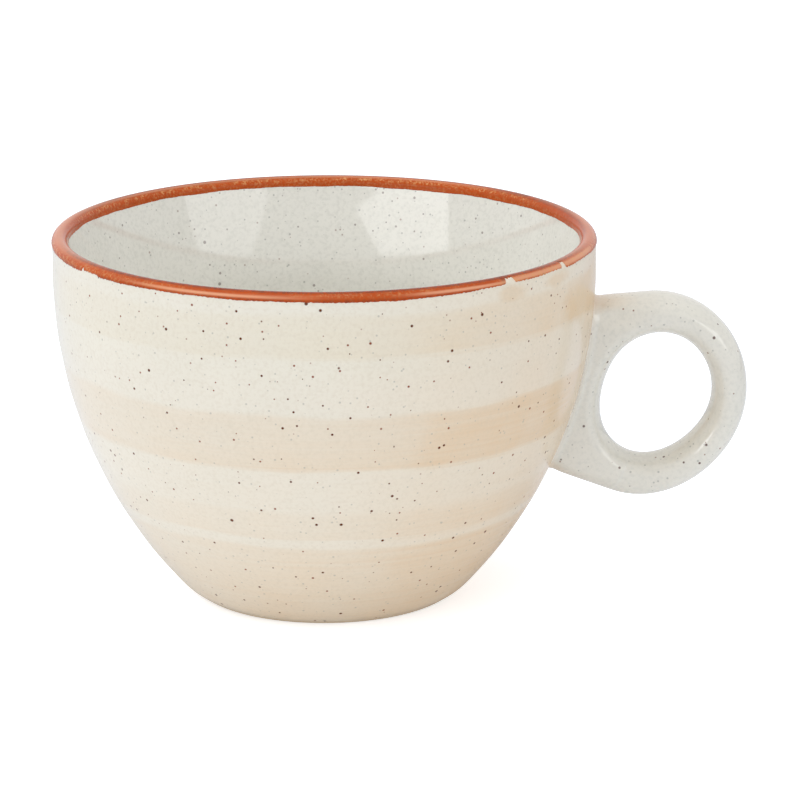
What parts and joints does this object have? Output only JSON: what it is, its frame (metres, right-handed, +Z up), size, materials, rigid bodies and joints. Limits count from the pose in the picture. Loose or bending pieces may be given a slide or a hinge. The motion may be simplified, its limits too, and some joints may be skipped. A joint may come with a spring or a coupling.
{
  "type": "cappuccino cup",
  "caption": "Wide stoneware cappuccino cup with a round finger ring handle, brushed pale bands and a rust coloured rim, for hot drinks.",
  "frame": {"origin": "on the axis of the bowl, in the plane that the foot ring stands on", "axes": "+Z up along the axis of the bowl, +X from the axis towards the handle, so the handle's middle plane is y = 0"},
  "size_m": [0.141, 0.11, 0.075],
  "materials": {
    "clay": "matte",
    "slip": "matte",
    "cream_glaze": "gloss",
    "liner_glaze": "gloss",
    "peach_brushwork": "gloss",
    "pale_brushwork": "gloss",
    "rust_glaze": "gloss"
  },
  "bodies": {
    "root": {"bowl": "clay", "foot_ring": "clay", "handle": "cream_glaze", "luting_slip": "slip", "liner_glaze": "liner_glaze", "body_glaze": "cream_glaze", "upper_band": "peach_brushwork", "middle_band": "peach_brushwork", "pale_band": "pale_brushwork", "heel_band": "peach_brushwork", "rim_glaze": "rust_glaze", "base_glaze": "liner_glaze"}
  },
  "joints": []
}
